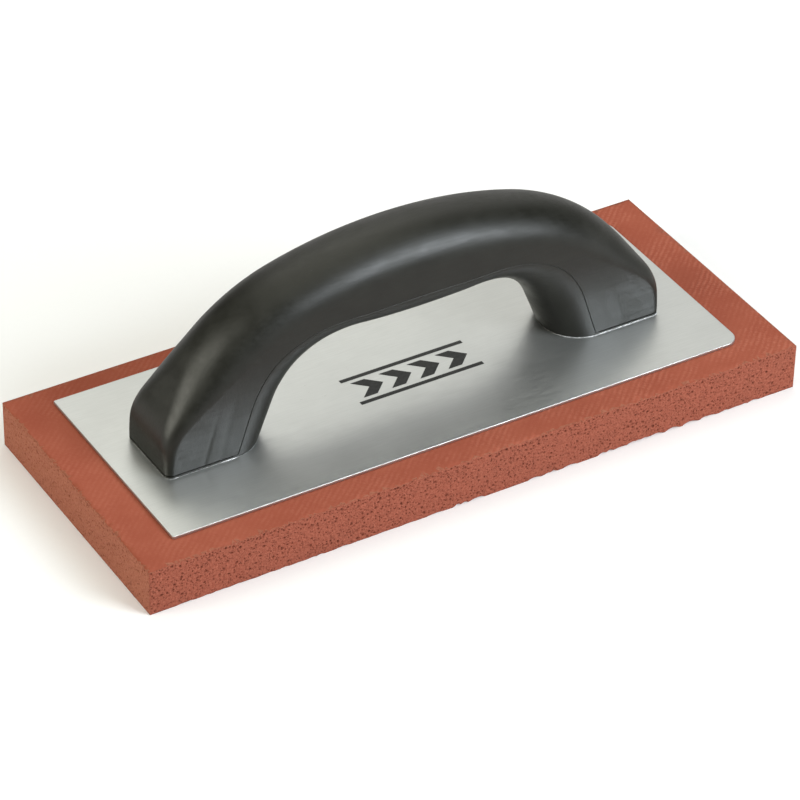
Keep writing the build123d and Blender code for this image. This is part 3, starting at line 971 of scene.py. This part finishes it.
def sponge_pad(material):
    """The foam block, with open pores, a skinned top and a torn lower edge in front."""
    low, high = (np.array(corner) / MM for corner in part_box("sponge_pad"))
    rng = np.random.default_rng(PORE_SEED)
    length, width, thick = high - low
    xs, ys = edge_run(length, EDGE_STEP), edge_run(width, EDGE_STEP)
    zs = edge_run(thick, EDGE_RISE)
    parts = []
    # Each face: its corner, its two directions, and the points along them.
    for name, origin, across, up, runs in (
        ("front", (0, 0, 0), (1, 0, 0), (0, 0, 1), (xs, zs)),
        ("back", (length, width, 0), (-1, 0, 0), (0, 0, 1), (xs, zs)),
        ("right", (length, 0, 0), (0, 1, 0), (0, 0, 1), (ys, zs)),
        ("left", (0, width, 0), (0, -1, 0), (0, 0, 1), (ys, zs)),
        ("bottom", (0, width, 0), (1, 0, 0), (0, -1, 0), (xs, ys)),
        ("top", (0, 0, thick), (1, 0, 0), (0, 1, 0), (xs, ys)),
    ):
        size = (runs[0][-1], runs[1][-1])
        border = np.concatenate(
            [
                np.column_stack([runs[0][:-1], np.zeros(len(runs[0]) - 1)]),
                np.column_stack([np.full(len(runs[1]) - 1, size[0]), runs[1][:-1]]),
                np.column_stack([runs[0][:0:-1], np.full(len(runs[0]) - 1, size[1])]),
                np.column_stack([np.zeros(len(runs[1]) - 1), runs[1][:0:-1]]),
            ]
        )
        pores, spacing, rough = pore_plan(rng, name, size)
        sheet, faces, painted_pit_shade = pitted_sheet(rng, border, size, pores, spacing, rough)
        out = np.cross(across, up)
        where = (
            np.array(origin)
            + sheet[:, :1] * np.array(across)
            + sheet[:, 1:2] * np.array(up)
            + sheet[:, 2:] * out
        )
        parts.append((where, faces, painted_pit_shade, np.full(len(where), CUT_SHADE.get(name, 1.0))))
    piece = join_pad(parts, low, high, rng, material)
    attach(piece, "root")
    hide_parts("sponge_pad")


def pore_plan(rng, name, size):
    """Where one face's pores lie and how big they are, and its roughness between them."""
    if name == "top":
        return (np.zeros((0, 2)), np.zeros(0)), TOP_SPACING, 0.0
    count = int(size[0] * size[1] * PORES_PER_MM2[name])
    centres = rng.uniform((0, 0), size, (count, 2))
    radii = PORE_RADIUS + rng.gamma(*PORE_SPREAD, count)
    if name == "bottom":
        spacing = BOTTOM_SPACING
        radii *= BOTTOM_PORES_GROW
    else:
        spacing = SIDE_SPACING
        row = rng.random(count) < SKIN_ROW_SHARE
        centres[row, 1] = size[1] - SKIN_ROW_DEPTH - rng.exponential(SKIN_ROW_SPREAD, row.sum())
        radii[row] *= SKIN_ROW_GROWS
    return (centres, np.minimum(radii, PORE_LARGEST)), spacing, CUT_ROUGHNESS


def join_pad(parts, low, high, rng, material):
    """Joins the six faces into one closed mesh, its lower edge in front torn."""
    points = np.concatenate([part[0] for part in parts])
    start, faces = 0, []
    for part in parts:
        faces.append(part[1] + start)
        start += len(part[0])
    painted_pit_shade = np.concatenate([part[2] for part in parts])
    kind = np.concatenate([part[3] for part in parts])
    wear = worn(rng, points, high - low)
    piece = mesh_piece("sponge_pad_foam", points + low + wear, np.concatenate(faces).tolist(), material)
    # The pores' painted shade and the kind of each face, as point attributes.
    for name, values in (("painted_pit_shade", painted_pit_shade), ("cut", kind)):
        layer = piece.data.attributes.new(name, "FLOAT", "POINT")
        layer.data.foreach_set("value", values.astype(np.float32))
    mesh = bmesh.new()
    mesh.from_mesh(piece.data)
    bmesh.ops.remove_doubles(mesh, verts=mesh.verts, dist=WELD * MM)
    bmesh.ops.recalc_face_normals(mesh, faces=mesh.faces)
    mesh.to_mesh(piece.data)
    mesh.free()
    return piece


def worn(rng, points, size):
    """How far each point has moved where crumbs are torn from the lower edge in front."""
    x, y, z = points.T
    lift = np.zeros(len(points))
    for _ in range(CRUMBS):
        where = rng.uniform(CRUMB_MARGIN, size[0] - CRUMB_MARGIN)
        wide = rng.uniform(*CRUMB_HALF_WIDTH)
        tall = rng.uniform(*CRUMB_HEIGHT)
        if where <= CRUMB_TALL_FROM:
            tall *= CRUMB_LEFT_SHARE
        lift = np.maximum(lift, tall * np.sqrt(np.clip(1 - np.abs(x - where) / wide, 0, 1)))
    front = np.clip(1 - y / CRUMB_REACH, 0, 1)
    low_part = np.clip(1 - z / CRUMB_RISE, 0, 1)
    moved = np.zeros_like(points)
    moved[:, 2] = lift * front * low_part
    return moved


# =====================================================================================
# Plate
# =====================================================================================


def plate_sheet(material):
    """The sheet, its upper edge rolled over by the shear."""
    low, high = (np.array(corner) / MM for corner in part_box("backing_plate"))
    loops = []
    for height, inset in PLATE_EDGE:
        outline = []
        for start, (way_x, way_y) in zip((-90, 0, 90, 180), ((1, -1), (1, 1), (-1, 1), (-1, -1))):
            radius = PLATE_CORNERS[way_x]
            centre_x = (high[0] if way_x > 0 else low[0]) - way_x * radius
            centre_y = (high[1] if way_y > 0 else low[1]) - way_y * radius
            reach = max(radius - inset, PLATE_LEAST_RADIUS)
            for k in range(PLATE_CORNER_STEPS + 1):
                angle = radians(start + 90 * k / PLATE_CORNER_STEPS)
                outline.append((centre_x + reach * cos(angle), centre_y + reach * sin(angle)))
        z = mix(low[2], high[2], height)
        loops.append(np.array([(x, y, z) for x, y in outline]))
    piece = mesh_piece("backing_plate_sheet", *stacked(loops), material)
    flatten_caps(piece)
    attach(piece, "root")
    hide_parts("backing_plate")


# =====================================================================================
# Studio
# =====================================================================================


def softbox(name, direction, size, radiance, color):
    """A soft square light, aimed at the object."""
    data = bpy.data.lights.new(name, "AREA")
    data.shape = "SQUARE"
    data.size = size * MM
    data.energy = pi * data.size**2 * radiance
    data.color = color
    light = bpy.data.objects.new(name, data)
    aim = Vector(direction).normalized()
    light.location = aim * SOFTBOX_DISTANCE * MM
    light.rotation_mode = "QUATERNION"
    light.rotation_quaternion = aim.to_track_quat("Z", "Y")
    bpy.context.scene.collection.objects.link(light)


def backdrop(material):
    """A pale dome all round, seen by the camera alone, that lights nothing."""
    mesh = bmesh.new()
    bmesh.ops.create_icosphere(mesh, subdivisions=4, radius=BACKDROP_RADIUS * MM)
    data = bpy.data.meshes.new("studio_backdrop")
    mesh.to_mesh(data)
    mesh.free()
    data.materials.append(material)
    dome = bpy.data.objects.new("studio_backdrop", data)
    bpy.context.scene.collection.objects.link(dome)
    for rays in ("diffuse", "glossy", "transmission", "volume_scatter", "shadow"):
        setattr(dome, "visible_" + rays, False)


def studio(floor_material, backdrop_material):
    """The lights, the sky, the floor and the wall behind it."""
    scene = bpy.context.scene
    scene.view_settings.view_transform = "Standard"
    world = bpy.data.worlds.new("studio")
    world.use_nodes = True
    nodes = Nodes(world.node_tree)
    way = nodes.add("ShaderNodeTexCoord").outputs["Generated"]
    up = nodes.add("ShaderNodeSeparateXYZ", {"Vector": way}).outputs["Z"]
    radiance = nodes.ramp(up, -HORIZON, HORIZON, LOWER_RADIANCE, SKY_RADIANCE)
    sky = nodes.add("ShaderNodeBackground", {"Color": SKY_COLOR, "Strength": radiance})
    nodes.add("ShaderNodeOutputWorld", {"Surface": sky.outputs[0]})
    scene.world = world
    for name, settings in SOFTBOXES.items():
        softbox(name, *settings)
    ways = ((-1, -1), (1, -1), (1, 1), (-1, 1))
    corners = [(x * FLOOR_HALF, y * FLOOR_HALF, -FLOOR_DROP) for x, y in ways]
    floor = mesh_piece("studio_floor", corners, [(0, 1, 2, 3)], floor_material, smooth=False)
    floor.visible_glossy = False
    backdrop(backdrop_material)


def camera():
    """The photograph's camera, which the scene is seen through."""
    data = bpy.data.cameras.new("camera")
    data.lens = CAMERA_LENS
    data.sensor_width = CAMERA_SENSOR
    data.clip_start = CAMERA_NEAR * MM
    data.clip_end = CAMERA_FAR * MM
    seat = bpy.data.objects.new("camera", data)
    forward = Vector(
        (
            -sin(CAMERA_AZIMUTH) * cos(CAMERA_DOWN),
            cos(CAMERA_AZIMUTH) * cos(CAMERA_DOWN),
            -sin(CAMERA_DOWN),
        )
    )
    right = forward.cross(Vector((0, 0, 1))).normalized()
    up = right.cross(forward)
    turned = Matrix.Rotation(-CAMERA_ROLL, 3, forward)
    right, up = turned @ right, turned @ up
    seat.matrix_world = Matrix.Translation(Vector(CAMERA_PLACE) * MM) @ Matrix(
        (right, up, -forward)
    ).transposed().to_4x4()
    bpy.context.scene.collection.objects.link(seat)
    bpy.context.scene.camera = seat


def dress(node, material):
    """Gives a CAD node that stays its finished material."""
    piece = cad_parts[node]
    piece.data.materials.clear()
    piece.data.materials.append(material)


sponge_pad(sponge_rubber())
plate_sheet(plate_aluminium())
handle(handle_plastic())
foot_beads(bead_with_painted_glint())
dress("pad_adhesive", dried_adhesive())
dress("plate_screws", screw_steel())
dress("printed_mark", print_ink())
studio(floor_paper(), backdrop_white())
camera()
